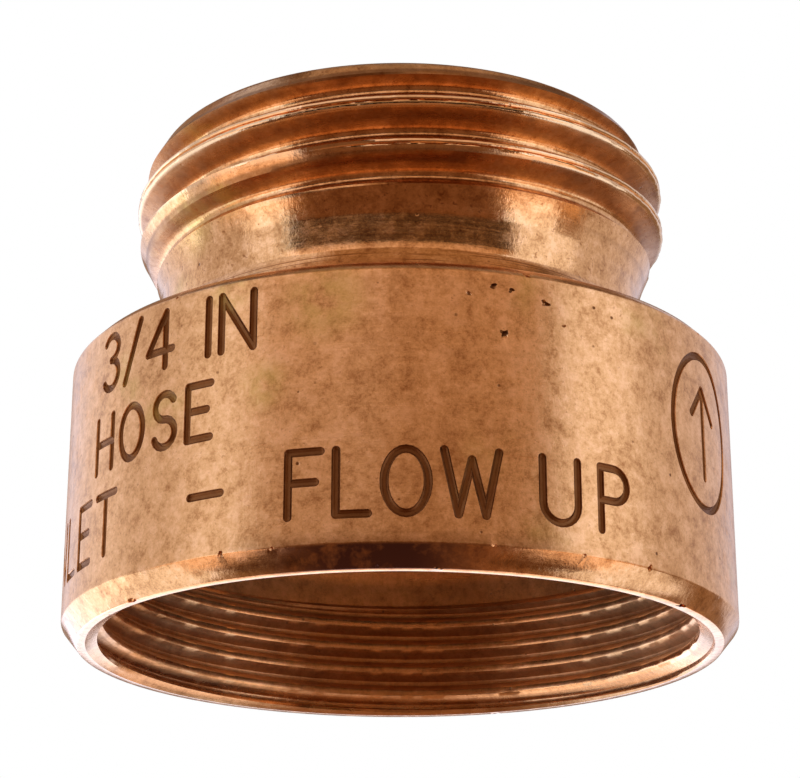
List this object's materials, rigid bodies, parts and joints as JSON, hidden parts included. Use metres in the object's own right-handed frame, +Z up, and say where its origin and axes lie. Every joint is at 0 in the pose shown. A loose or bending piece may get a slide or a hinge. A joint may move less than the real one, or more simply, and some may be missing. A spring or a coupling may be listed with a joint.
{
  "type": "vacuum breaker",
  "caption": "Turned bronze vacuum breaker with a male hose thread, a wide fine-threaded inlet socket and a spring-loaded check valve inside.",
  "frame": {"origin": "centre of the thin inlet lip that the part rests on", "axes": "+Z up the common axis, from the inlet lip to the hose end; +X and +Y across"},
  "size_m": [0.0326, 0.0326, 0.0255],
  "materials": {
    "bronze": "turned, satin, slightly stained",
    "yellow_brass": "turned",
    "rubber": "moulded, matt",
    "acetal": "moulded, satin",
    "spring_steel": "drawn stainless wire and sheet"
  },
  "bodies": {
    "housing": {"body": "bronze", "inlet_gasket": "rubber", "seat_ring": "yellow_brass", "diaphragm": "rubber", "check_spring": "spring_steel", "outlet_guide": "acetal", "retaining_ring": "spring_steel"},
    "valve": {"plunger": "acetal", "seal_disc": "rubber", "disc_nut": "yellow_brass"}
  },
  "joints": [
    {"name": "plunger_slide", "type": "slide", "parent": "housing", "child": "valve", "axis": [0, 0, 1], "range_m": [0, 0.0022], "stiffness_N_per_m": 400, "springref_m": -0.003, "deforming": ["check_spring"]}
  ]
}
